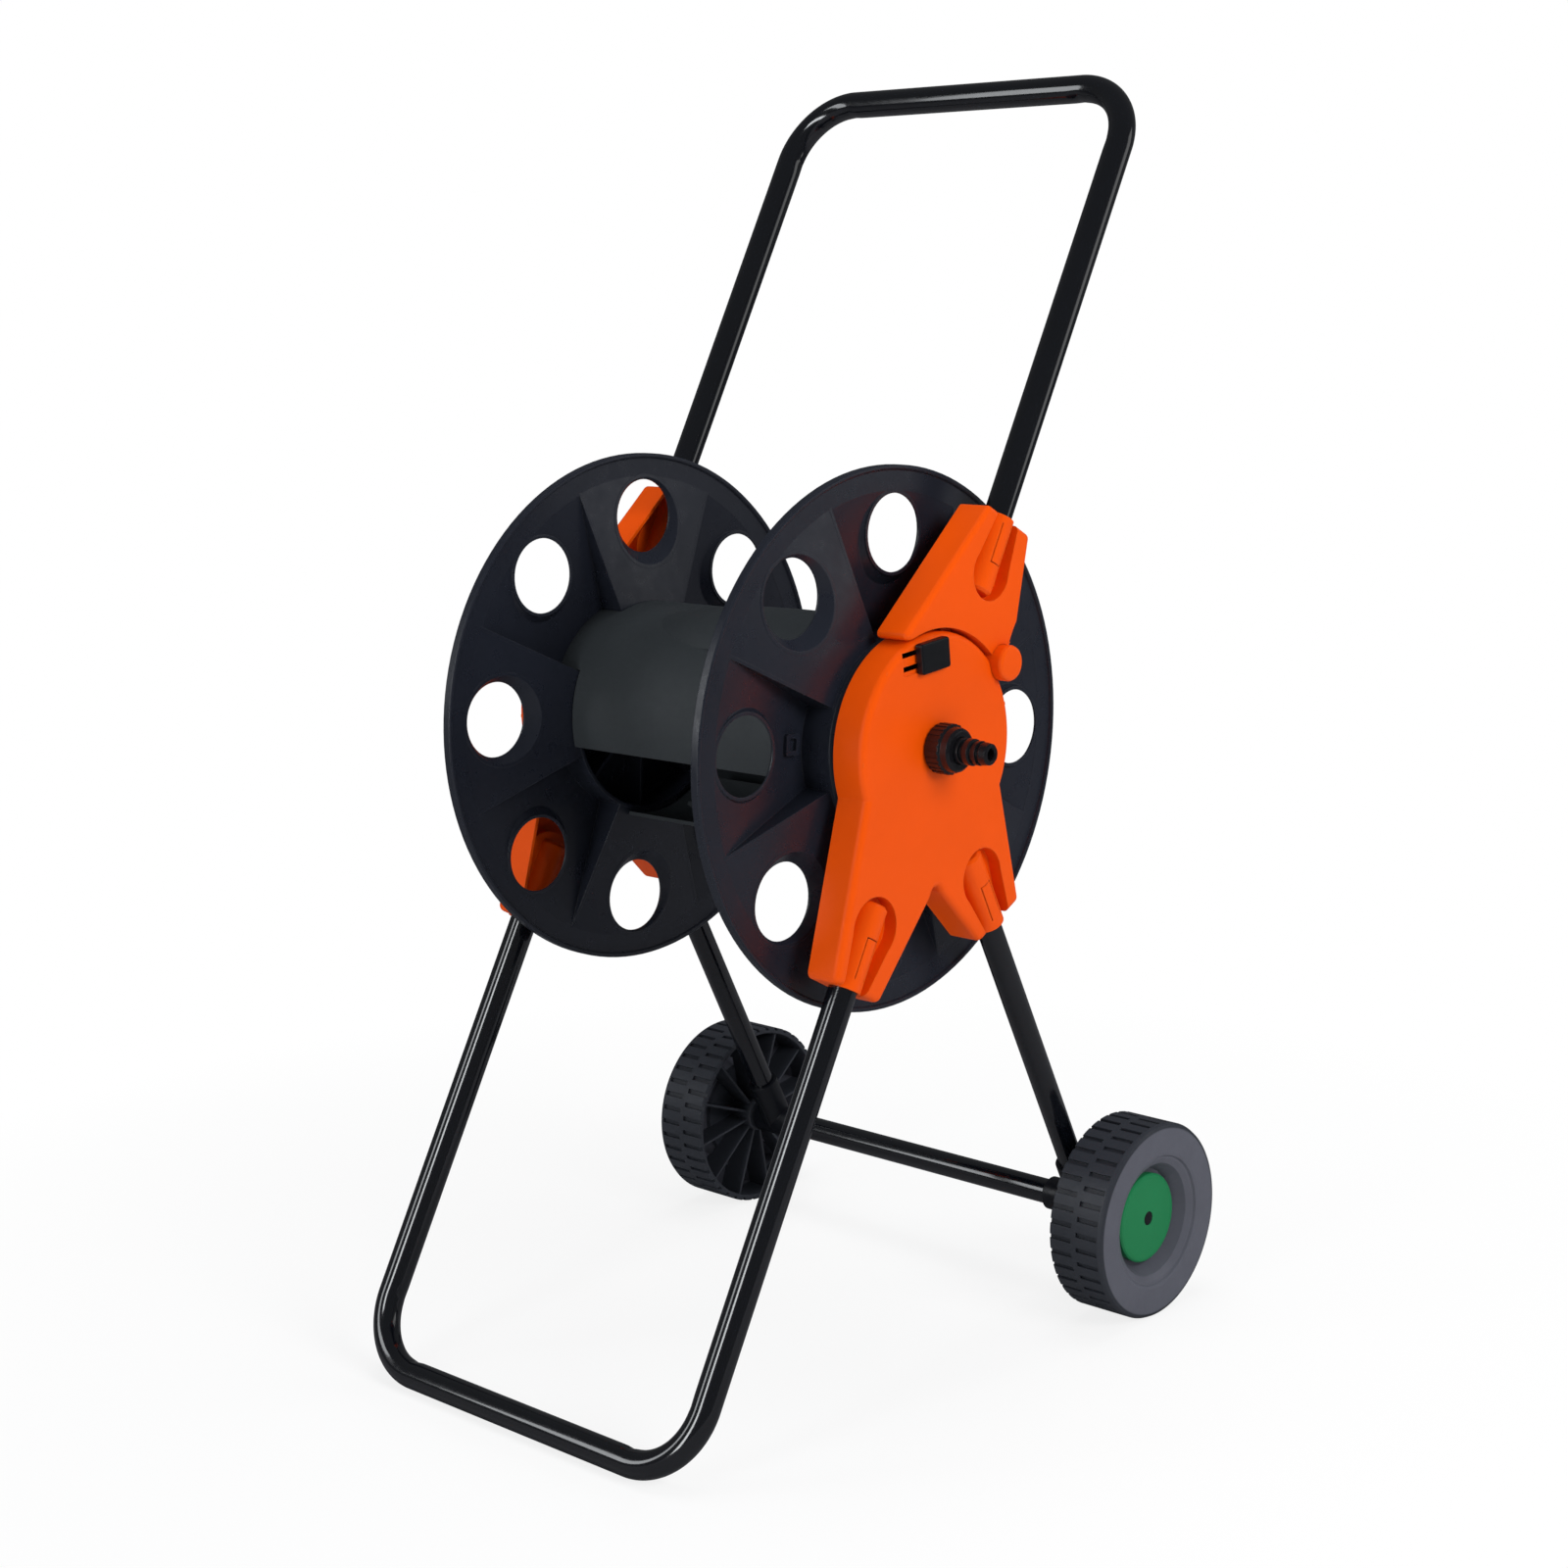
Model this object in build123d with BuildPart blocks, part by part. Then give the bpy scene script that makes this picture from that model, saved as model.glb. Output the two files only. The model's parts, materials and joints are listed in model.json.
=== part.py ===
from build123d import *
import os
from math import atan2, cos, degrees, hypot, radians, sin

# Garden hose reel cart, in millimetres. X runs across the cart, Y from the foot loop to the
# wheels, Z up. The origin lies on the ground, in the middle of the cart.
# Right is +X, the side with the hose inlet. Left is -X, the side with the crank.
os.makedirs("parts", exist_ok=True)

# ---- driving dimensions -------------------------------------------------------------------
REEL_Y = 5.0  # reel axis behind the origin
REEL_Z = 430.5  # reel axis above the ground
LEAN = 60.2  # angle of handle and foot loop above the horizontal
LOOP_DROP = 421.0  # height from the reel axis to the top bar, and to the foot bar
TUBE_X = 150.0  # handle, foot and leg tubes either side of the middle
AXLE_Y = 172.0  # wheel axle behind the reel axis
AXLE_DROP = 360.5  # wheel axle below the reel axis
LEG_TOP_Y = -2.0  # the leg line crosses reel height here, from the reel axis

# steel tubes
TUBE_R = 9.5
LEG_R = 8.75
CROSS_TUBE_R = 9.0
TUBE_WALL = 1.0
BEND_R = 46.0
AXLE_ROD_R = 4.0
LOOP_START = 113.0  # tube ends of handle and foot loop, along their line
LEG_START = 90.0
LEG_STOP = 16.0  # the leg ends this far above the axle
SNAP_R = 3.0

# reel
FLANGE_R = 180.0
FLANGE_X = 114.75  # middle of the flange sheet at the rim
SHEET = 2.4
RIM_HALF = 3.5  # half the width of the rim
BAND_R = 163.0  # the sectors start inside this radius
BOSS_R = 72.0
BOSS_X = 131.0
LIFT = 11.0  # how far a sector stands off the rim plane at the boss
PHASE = -4.5  # the reel's angle at rest
HOLE_CIRCLE_R = 136.0
HOLE_R = 25.7
DRUM_R = 77.0
DRUM_WALL = 2.6
CORE_R = 27.0
JOURNAL_R = 22.0
JOURNAL_BORE_R = 14.0
JOURNAL_X = 149.0
CRANK_SHAFT_R = 9.0
CRANK_R = 90.0  # grip from the reel axis

# side frames
BACK = 135.0
FACE = 160.0
DISC_R = 75.0
ARC_R = 77.5
WALL = 2.5
EDGE_R = 5.0
POCKET_X = 150.0  # floor of the pockets round the tube sleeves
PIVOT = (66.8, 46.8)  # handle hinge, from the reel axis
KNUCKLE_R = 12.0
KNUCKLE_X = 151.75  # where the arm's knuckle meets the body's lug
KNUCKLE_FACE = 168.7
FOLD = 130.0  # how far the handle folds back
SLEEVE_R = 11.5
LATCH = (-7.6, 61.3)  # middle of the latch button, from the reel axis
LATCH_TILT = 4.9
LATCH_TRAVEL = 9.0

# wheels
WHEEL_R = 70.0
WHEEL_IN = 169.5
WHEEL_OUT = 213.5
CAP_R = 32.0
TREAD_COUNT = 40
TREAD_DEPTH = 2.2

GAP = 0.4  # plain clearance between parts that move past each other
RUNNING = 0.05  # radial clearance of a shaft in its hole

# ---- derived ------------------------------------------------------------------------------
LEG_ANGLE = -degrees(atan2(AXLE_DROP, AXLE_Y - LEG_TOP_Y))
FOOT_ANGLE = LEAN - 180.0
LOOP_LENGTH = LOOP_DROP / sin(radians(LEAN))
LOOP_CROSS = REEL_Y * sin(radians(LEAN))  # the loops' line passes the reel axis at this distance
LOOP_SHIFT = REEL_Y * cos(radians(LEAN))
LEG_CROSS = LEG_TOP_Y * sin(radians(-LEG_ANGLE))
LEG_TO_AXLE = AXLE_Y * cos(radians(LEG_ANGLE)) - AXLE_DROP * sin(radians(LEG_ANGLE))
AXLE = (AXLE_Y, -AXLE_DROP)
REEL_AXIS = Axis((0, REEL_Y, REEL_Z), (1, 0, 0))
AXLE_AXIS = Axis((0, REEL_Y + AXLE_Y, REEL_Z - AXLE_DROP), (1, 0, 0))
SECTOR = 45.0
LIFTED = [PHASE + 45 + 90 * k for k in range(4)]  # sectors that bulge away from the drum
SUNK = [PHASE + 90 * k for k in range(4)]  # sectors that dip towards the drum


# ---- helpers ------------------------------------------------------------------------------
def side_plane(x, angle=0.0, centre=(0, 0)):
    """Upright plane across the cart, seen from the right: Y across, Z up, from the reel axis."""
    c, s = cos(radians(angle)), sin(radians(angle))
    return Plane(
        origin=(x, REEL_Y + centre[0], REEL_Z + centre[1]), x_dir=(0, c, s), z_dir=(1, 0, 0)
    )


def radial_plane(angle, centre=(0, 0)):
    """Plane through an axis along X at an angle: X across, radius up."""
    c, s = cos(radians(angle)), sin(radians(angle))
    return Plane(
        origin=(0, REEL_Y + centre[0], REEL_Z + centre[1]), x_dir=(1, 0, 0), z_dir=(0, -s, c)
    )


def tube_plane(angle, along, across, x=TUBE_X):
    """Plane square to a tube that runs away from the reel, at a distance along it."""
    y, z = point(angle, along, across)
    direction = (0, cos(radians(angle)), sin(radians(angle)))
    return Plane(origin=(x, REEL_Y + y, REEL_Z + z), x_dir=(1, 0, 0), z_dir=direction)


def point(angle, along, across=0.0):
    """Point in a side plane: along a direction from the reel axis, then across to its left."""
    c, s = cos(radians(angle)), sin(radians(angle))
    return (along * c - across * s, along * s + across * c)


def mirrored(piece):
    """The same piece on the other side of the cart."""
    with BuildPart() as other:
        mirror(piece, about=Plane.YZ)
    return other.part


def save(piece, name):
    piece.label = name
    export_step(piece, f"parts/{name}.step")


def save_pair(piece, name):
    save(mirrored(piece), f"{name}_left")
    save(piece, f"{name}_right")


def turned(profile, centre=(0, 0)):
    """A solid turned about an axis along X, from points (x, radius)."""
    with BuildPart() as solid:
        with BuildSketch(radial_plane(0, centre)):
            with BuildLine():
                Polyline(profile, close=True)
            make_face()
        revolve(axis=Axis((0, REEL_Y + centre[0], REEL_Z + centre[1]), (1, 0, 0)))
    return solid.part


def collar(start, end, outer, inner, centre=(0, 0)):
    """A plain ring along X."""
    return turned([(start, inner), (end, inner), (end, outer), (start, outer)], centre)


def sector(profile, middle, arc):
    """Part of a turned solid about the reel axis, from points (x, radius)."""
    with BuildPart() as solid:
        with BuildSketch(radial_plane(middle - arc / 2)):
            with BuildLine():
                Polyline(profile, close=True)
            make_face()
        revolve(axis=REEL_AXIS, revolution_arc=arc)
    return solid.part


def rod(angle, start, end, across, radius, x=TUBE_X):
    """A round bar along a tube line."""
    with BuildPart() as solid:
        with BuildSketch(tube_plane(angle, start, across, x)):
            Circle(radius)
        extrude(amount=end - start)
    return solid.part


# ---- handle loop and foot loop ------------------------------------------------------------
def tube_loop(sign):
    """A U of tube, open at the reel, with a snap hole near each end."""
    c, s = cos(radians(LEAN)) * sign, sin(radians(LEAN)) * sign
    base = Plane(origin=(0, 0, REEL_Z), x_dir=(1, 0, 0), z_dir=(0, -s, c))
    angle = LEAN if sign > 0 else FOOT_ANGLE
    with BuildPart() as loop:
        with BuildLine(base) as path:
            FilletPolyline(
                (-TUBE_X, LOOP_START),
                (-TUBE_X, LOOP_LENGTH),
                (TUBE_X, LOOP_LENGTH),
                (TUBE_X, LOOP_START),
                radius=BEND_R,
            )
        with BuildSketch(path.line ^ 0):
            Circle(TUBE_R)
            Circle(TUBE_R - TUBE_WALL, mode=Mode.SUBTRACT)
        sweep()
        with BuildSketch(side_plane(-TUBE_X - 12)):
            with Locations(point(angle, 146, sign * LOOP_CROSS)):
                Circle(SNAP_R)
        extrude(amount=12, mode=Mode.SUBTRACT)
        with BuildSketch(side_plane(TUBE_X)):
            with Locations(point(angle, 146, sign * LOOP_CROSS)):
                Circle(SNAP_R)
        extrude(amount=12, mode=Mode.SUBTRACT)
    return loop.part


save(tube_loop(1), "handle_tube")
save(tube_loop(-1), "foot_tube")

# ---- rear legs and axle -------------------------------------------------------------------
with BuildPart() as rear_leg:
    add(rod(LEG_ANGLE, LEG_START, LEG_TO_AXLE - LEG_STOP, LEG_CROSS, LEG_R))
    add(
        rod(LEG_ANGLE, LEG_START, LEG_TO_AXLE - LEG_STOP, LEG_CROSS, LEG_R - TUBE_WALL),
        mode=Mode.SUBTRACT,
    )
    with BuildSketch(side_plane(TUBE_X)):
        with Locations(point(LEG_ANGLE, 122, LEG_CROSS)):
            Circle(SNAP_R)
    extrude(amount=12, mode=Mode.SUBTRACT)
save_pair(rear_leg.part, "rear_leg")

BRACKET_IN, BRACKET_OUT = 119.0, 167.0
CROSS_END = 139.5
with BuildPart() as axle_bracket:
    add(
        turned(
            [
                (BRACKET_IN, 0),
                (BRACKET_IN, 11.0),
                (BRACKET_IN + 1, 12.0),
                (BRACKET_OUT - 1, 12.0),
                (BRACKET_OUT, 11.0),
                (BRACKET_OUT, 0),
            ],
            AXLE,
        )
    )
    add(rod(LEG_ANGLE, LEG_TO_AXLE - 40, LEG_TO_AXLE, LEG_CROSS, 11.5))
    with BuildSketch(side_plane(TUBE_X - 1.5)):
        with BuildLine():
            Polyline(
                point(LEG_ANGLE, LEG_TO_AXLE, 12 + LEG_CROSS),
                point(LEG_ANGLE, LEG_TO_AXLE - 32, 12 + LEG_CROSS),
                point(LEG_ANGLE, LEG_TO_AXLE - 32, -12 + LEG_CROSS),
                point(LEG_ANGLE, LEG_TO_AXLE, -12 + LEG_CROSS),
                close=True,
            )
        make_face()
    extrude(amount=3)
    add(
        rod(LEG_ANGLE, LEG_TO_AXLE - 41, LEG_TO_AXLE - LEG_STOP, LEG_CROSS, LEG_R + RUNNING),
        mode=Mode.SUBTRACT,
    )
    add(collar(BRACKET_IN - 1, CROSS_END, CROSS_TUBE_R + RUNNING, 0, AXLE), mode=Mode.SUBTRACT)
    add(collar(CROSS_END, BRACKET_OUT + 1, AXLE_ROD_R + RUNNING, 0, AXLE), mode=Mode.SUBTRACT)
save_pair(axle_bracket.part, "axle_bracket")

save(
    collar(-CROSS_END, CROSS_END, CROSS_TUBE_R, CROSS_TUBE_R - TUBE_WALL, AXLE), "axle_tube"
)
ROD_END = 200.5
save(
    turned(
        [
            (-ROD_END, 0),
            (-ROD_END, AXLE_ROD_R - 0.8),
            (0.8 - ROD_END, AXLE_ROD_R),
            (ROD_END - 0.8, AXLE_ROD_R),
            (ROD_END, AXLE_ROD_R - 0.8),
            (ROD_END, 0),
        ],
        AXLE,
    ),
    "axle_rod",
)
save_pair(
    turned(
        [
            (BRACKET_OUT, AXLE_ROD_R),
            (WHEEL_IN - GAP, AXLE_ROD_R),
            (WHEEL_IN - GAP, 8.5),
            (WHEEL_IN - GAP - 0.3, 8.8),
            (BRACKET_OUT + 0.3, 8.8),
            (BRACKET_OUT, 8.5),
        ],
        AXLE,
    ),
    "axle_washer",
)
CLIP_IN = 197.6
with BuildPart() as axle_clip:
    add(
        turned(
            [
                (CLIP_IN, AXLE_ROD_R),
                (CLIP_IN + 1.6, AXLE_ROD_R),
                (CLIP_IN + 1.0, 6.0),
                (CLIP_IN + 1.0, 8.0),
                (CLIP_IN, 8.0),
            ],
            AXLE,
        )
    )
    with BuildSketch(side_plane(CLIP_IN - 1, 0, AXLE)):
        with PolarLocations(5.6, 3):
            Rectangle(1.6, 1.0)
    extrude(amount=4, mode=Mode.SUBTRACT)
save_pair(axle_clip.part, "axle_clip")

# ---- wheels -------------------------------------------------------------------------------
HUB_R = 13.0
BUSH_R = 7.0
WEB_IN, WEB_OUT = 190.0, 195.5
TYRE_INNER_R = 65.5
with BuildPart() as wheel:
    with BuildSketch(radial_plane(0, AXLE)):
        with BuildLine():
            Polyline(
                (WHEEL_IN, BUSH_R),
                (WEB_OUT + 1.5, BUSH_R),
                (WEB_OUT + 1.5, CAP_R - 2),
                (WEB_OUT + 1.5, CAP_R + 3),
                (WHEEL_OUT - 5.0, 40.5),
                (WHEEL_OUT - 2.6, 44.5),
                (WHEEL_OUT - 2.2, 46.0),
                (WHEEL_OUT - 0.6, 47.0),
                (WHEEL_OUT, 49.0),
                (WHEEL_OUT, WHEEL_R - 3.0),
                (WHEEL_OUT - 1.0, WHEEL_R - 1.0),
                (WHEEL_OUT - 3.0, WHEEL_R),
                (WHEEL_IN + 1.0, WHEEL_R),
                (WHEEL_IN, WHEEL_R - 1.0),
                (WHEEL_IN, TYRE_INNER_R + 0.5),
                (WHEEL_IN + 0.5, TYRE_INNER_R),
                (WHEEL_OUT - 4.5, TYRE_INNER_R - 1),
                (WHEEL_OUT - 4.5, 49.5),
                (WHEEL_OUT - 10.0, 43.5),
                (WEB_IN, CAP_R + 5),
                (WEB_IN, HUB_R + 0.5),
                (WHEEL_IN + 1, HUB_R),
                (WHEEL_IN, HUB_R - 1),
                close=True,
            )
        make_face()
    revolve(axis=AXLE_AXIS)
    # ribs inside, full depth up to the web, and on under the outer face
    for start, end, low in ((3, WEB_IN + 1, HUB_R - 0.5), (16, WHEEL_OUT - 4, 46.0)):
        with BuildSketch(side_plane(WHEEL_IN + start, 0, AXLE)):
            with PolarLocations((low + TYRE_INNER_R) / 2, 12, start_angle=9):
                Rectangle(TYRE_INNER_R - low, 1.8)
        extrude(amount=end - WHEEL_IN - start)
    # two staggered rows of tread slots; the inner row runs out at the edge
    with BuildSketch(side_plane(WHEEL_IN - 1, 0, AXLE)):
        with PolarLocations(WHEEL_R, TREAD_COUNT):
            Rectangle(TREAD_DEPTH * 2, 3.4)
    extrude(amount=19.5, mode=Mode.SUBTRACT)
    with BuildSketch(side_plane(WHEEL_OUT - 21.5, 0, AXLE)):
        with PolarLocations(WHEEL_R, TREAD_COUNT, start_angle=180 / TREAD_COUNT):
            Rectangle(TREAD_DEPTH * 2, 3.4)
    extrude(amount=17.5, mode=Mode.SUBTRACT)
save_pair(wheel.part, "wheel")

save_pair(
    turned(
        [
            (WHEEL_IN, AXLE_ROD_R + RUNNING),
            (WEB_OUT + 1.5, AXLE_ROD_R + RUNNING),
            (WEB_OUT + 1.5, BUSH_R),
            (WHEEL_IN, BUSH_R),
        ],
        AXLE,
    ),
    "wheel_bush",
)
CAP_IN = WEB_OUT + 1.5
save_pair(
    turned(
        [
            (CAP_IN, 9.5),
            (CAP_IN, CAP_R - 2.5),
            (CAP_IN + 1.0, CAP_R),
            (CAP_IN + 5.5, CAP_R),
            (CAP_IN + 6.6, CAP_R - 1.2),
            (CAP_IN + 7.0, CAP_R - 3),
            (CAP_IN + 7.6, 5),
            (CAP_IN + 5.0, 5),
            (CAP_IN + 5.0, 9.5),
        ],
        AXLE,
    ),
    "hub_cap",
)
save_pair(
    turned(
        [
            (CAP_IN + 4.4, 0),
            (CAP_IN + 4.4, 6.5),
            (CAP_IN + 5.0, 6.5),
            (CAP_IN + 5.0, 5),
            (CAP_IN + 7.3, 5),
            (CAP_IN + 7.8, 4),
            (CAP_IN + 8.0, 0),
        ],
        AXLE,
    ),
    "cap_plug",
)

# ---- side bodies --------------------------------------------------------------------------
SOCKET_R, BUSH_OUT_R = 28.0, 25.0
FRONT_LEG = [(-20, -30), (55, -50), (168, -24), (168, 24), (91, 41), (20, 40)]
REAR_LEG = [(-20, -30), (88, -40), (143.5, -22.7), (143, 25), (58, 45), (-20, 30)]


def outline(angle, corners):
    return [point(angle, along, across) for along, across in corners]


def body_shell(inset, depth, edge):
    """The body's outer form, or its hollow when inset by the wall."""
    with BuildPart() as shell:
        with BuildSketch(side_plane(BACK)) as shape:
            Circle(DISC_R)
            for angle, corners in ((FOOT_ANGLE, FRONT_LEG), (LEG_ANGLE, REAR_LEG)):
                with BuildLine():
                    Polyline(outline(angle, corners), close=True)
                make_face()
            fillet(shape.vertices().sort_by_distance((-3, -91, 0))[0], radius=5)
            corners = shape.vertices().filter_by(lambda v: hypot(v.X, v.Y) > 100)
            fillet(corners, radius=5)
            if inset:
                offset(amount=-inset, mode=Mode.REPLACE)
        extrude(amount=depth)
        fillet(shell.faces().sort_by(Axis.X)[-1].edges(), radius=edge)
    return shell.part


def pocket(angle, cross, start, end, head, foot, depth, grow=0.0):
    """A U-shaped pocket round a tube sleeve, wide at its closed end, from a depth to the face."""
    with BuildPart() as space:
        with BuildSketch(side_plane(depth)):
            with Locations(point(angle, start, cross)):
                Circle(head + grow)
            with BuildLine():
                Polyline(
                    point(angle, start, cross + head + grow),
                    point(angle, end, cross + foot + grow),
                    point(angle, end, cross - foot - grow),
                    point(angle, start, cross - head - grow),
                    close=True,
                )
            make_face()
        extrude(amount=FACE + 2 - depth)
    return space.part


def sleeve(angle, cross, start, end, bore):
    """Socket for a tube end, with a snap tongue cut in its outer face."""
    snap = (start + end) / 2 + 8
    with BuildPart() as socket:
        with BuildSketch(tube_plane(angle, start - 3, cross)):
            Circle(SLEEVE_R)
        extrude(amount=end - start + 3)
        chamfer(socket.faces().sort_by(Axis((0, 0, 0), (0, *point(angle, 1))))[0].edges(), 2.0)
        add(rod(angle, start - 0.3, end + 1, cross, bore), mode=Mode.SUBTRACT)
        with BuildSketch(side_plane(TUBE_X + 4, angle, point(angle, snap, cross))):
            Rectangle(32, 10)
            Rectangle(30.4, 8.4, mode=Mode.SUBTRACT)
            with Locations((16, 0)):
                Rectangle(8, 12, mode=Mode.SUBTRACT)
        extrude(amount=10, mode=Mode.SUBTRACT)
    return socket.part


BODY_SLEEVES = (
    # direction, distance off the axis, start, end, bore, pocket start, head, foot
    (FOOT_ANGLE, -LOOP_CROSS, LOOP_START, 168.0, TUBE_R, 126.0, 21.0, 10.5),
    (LEG_ANGLE, LEG_CROSS, LEG_START, 144.0, LEG_R, 104.0, 20.0, 12.0),
)
with BuildPart() as side_body:
    add(body_shell(0, FACE - BACK, EDGE_R))
    add(body_shell(WALL, FACE - BACK - WALL, WALL), mode=Mode.SUBTRACT)
    for angle, cross, start, end, bore, head_at, head, foot in BODY_SLEEVES:
        with BuildPart(mode=Mode.PRIVATE) as walls:
            add(pocket(angle, cross, head_at, end + 4, head, foot, POCKET_X - WALL, WALL))
            add(body_shell(0.4, FACE - BACK - 0.4, EDGE_R), mode=Mode.INTERSECT)
        add(walls.part)
        add(pocket(angle, cross, head_at, end + 6, head, foot, POCKET_X), mode=Mode.SUBTRACT)
        add(sleeve(angle, cross, start, end, bore + RUNNING))
        add(rod(angle, start - 0.3, end + 8, cross, bore + RUNNING), mode=Mode.SUBTRACT)
    # bearing socket round the reel axis, with ribs to the outer wall
    add(collar(BACK, FACE - 1, SOCKET_R, BUSH_OUT_R))
    with BuildSketch(side_plane(BACK + 4)):
        for angle in (15, 132, 180, 225):
            with Locations(point(angle, (SOCKET_R + DISC_R) / 2 - 0.5)):
                Rectangle(DISC_R - SOCKET_R - 2, 2.2, rotation=angle)
    extrude(amount=FACE - BACK - 5)
    # lug of the handle hinge
    with BuildSketch(side_plane(BACK)):
        with Locations(PIVOT):
            Circle(KNUCKLE_R)
    extrude(amount=KNUCKLE_X - 0.25 - BACK)
    with BuildSketch(side_plane(KNUCKLE_X - 0.25)):
        with Locations(PIVOT):
            Circle(KNUCKLE_R + GAP)
    extrude(amount=20, mode=Mode.SUBTRACT)
    with BuildSketch(side_plane(BACK - 1)):
        with Locations(PIVOT):
            Circle(AXLE_ROD_R)
    extrude(amount=20, mode=Mode.SUBTRACT)
    # recess and slits of the latch
    with BuildSketch(side_plane(FACE - 1.1, LATCH_TILT, LATCH)):
        with Locations((-7, 0)):
            RectangleRounded(40, 17.5, 2)
    extrude(amount=3, mode=Mode.SUBTRACT)
    with BuildSketch(side_plane(FACE - WALL - 1, LATCH_TILT, LATCH)):
        with Locations((-14.8, 4.5), (-14.8, -4.5)):
            Rectangle(22.6, 3.4)
    extrude(amount=5, mode=Mode.SUBTRACT)
    # way in for the arm's tongue, long enough for its swing
    with BuildSketch(side_plane(140.5)):
        with Locations((26.5, 66)):
            Rectangle(20, 22)
    extrude(amount=9, mode=Mode.SUBTRACT)
    # hole for the inlet or the crank shaft
    with BuildSketch(side_plane(FACE - 4)):
        Circle(12.2)
    extrude(amount=6, mode=Mode.SUBTRACT)
save_pair(side_body.part, "side_body")

with BuildPart() as bearing_bush:
    add(
        turned(
            [
                (BOSS_X + 0.5, JOURNAL_R + RUNNING),
                (BACK + 15, JOURNAL_R + RUNNING),
                (BACK + 15, BUSH_OUT_R),
                (BACK, BUSH_OUT_R),
                (BACK, 33.0),
                (BOSS_X + 1.0, 33.0),
                (BOSS_X + 0.5, 32.5),
            ]
        )
    )
save_pair(bearing_bush.part, "bearing_bush")

save_pair(
    turned(
        [
            (BACK - 3, 0),
            (BACK - 3, 6.0),
            (BACK - 2, 7.0),
            (BACK, 7.0),
            (BACK, AXLE_ROD_R),
            (KNUCKLE_FACE - 3.5, AXLE_ROD_R),
            (KNUCKLE_FACE - 2.7, AXLE_ROD_R - 0.8),
            (KNUCKLE_FACE - 2.7, 0),
        ],
        PIVOT,
    ),
    "pivot_pin",
)

# ---- handle arms --------------------------------------------------------------------------
ARM_TOP = [(160, 26), (160, -22.6)]
ARM_CORNER = (-32.5, 75.4)
TONGUE = (18.0, 28.0)  # the tongue's faces, Y from the reel axis
TONGUE_FOOT = 46.0


def arm_shell(inset, depth, edge):
    """The arm's outer form, or its hollow when inset by the wall, with its long edges rounded."""
    with BuildPart() as shell:
        with BuildSketch(side_plane(BACK)) as shape:
            with BuildLine():
                Polyline(
                    ARM_CORNER,
                    *outline(LEAN, ARM_TOP),
                    (PIVOT[0] + KNUCKLE_R * cos(radians(-13.5)), PIVOT[1] - 2.8),
                    PIVOT,
                    (0, 60),
                    close=True,
                )
            make_face()
            Circle(ARC_R, mode=Mode.SUBTRACT)
            with Locations(swung_disc()):
                Circle(DISC_R + 0.8, mode=Mode.SUBTRACT)
            with Locations(PIVOT):
                Circle(KNUCKLE_R + GAP, mode=Mode.SUBTRACT)
            corners = shape.vertices().filter_by(lambda v: hypot(v.X, v.Y) > 150)
            fillet(corners, radius=4)
            fillet(shape.vertices().sort_by_distance((*ARM_CORNER, 0))[0], radius=3)
            if inset:
                offset(amount=-inset, mode=Mode.REPLACE)
        extrude(amount=depth)
        if edge:
            fillet(shell.faces().sort_by(Axis.X)[-1].edges().filter_by(on_rim), radius=edge)
    return shell.part


def on_rim(edge):
    """True for the arm's long outer edges, away from the body's disc and the hinge."""
    middle = edge.position_at(0.5)
    y, z = middle.Y - REEL_Y, middle.Z - REEL_Z
    return hypot(y, z) > 85 and hypot(y - PIVOT[0], z - PIVOT[1]) > 14


def swung_disc():
    """Where the body's disc lies, seen from the arm, when the handle is folded right back."""
    reach = hypot(*PIVOT)
    angle = degrees(atan2(PIVOT[1], PIVOT[0])) + 180 + FOLD
    y, z = point(angle, reach)
    return (PIVOT[0] + y, PIVOT[1] + z)


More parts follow.
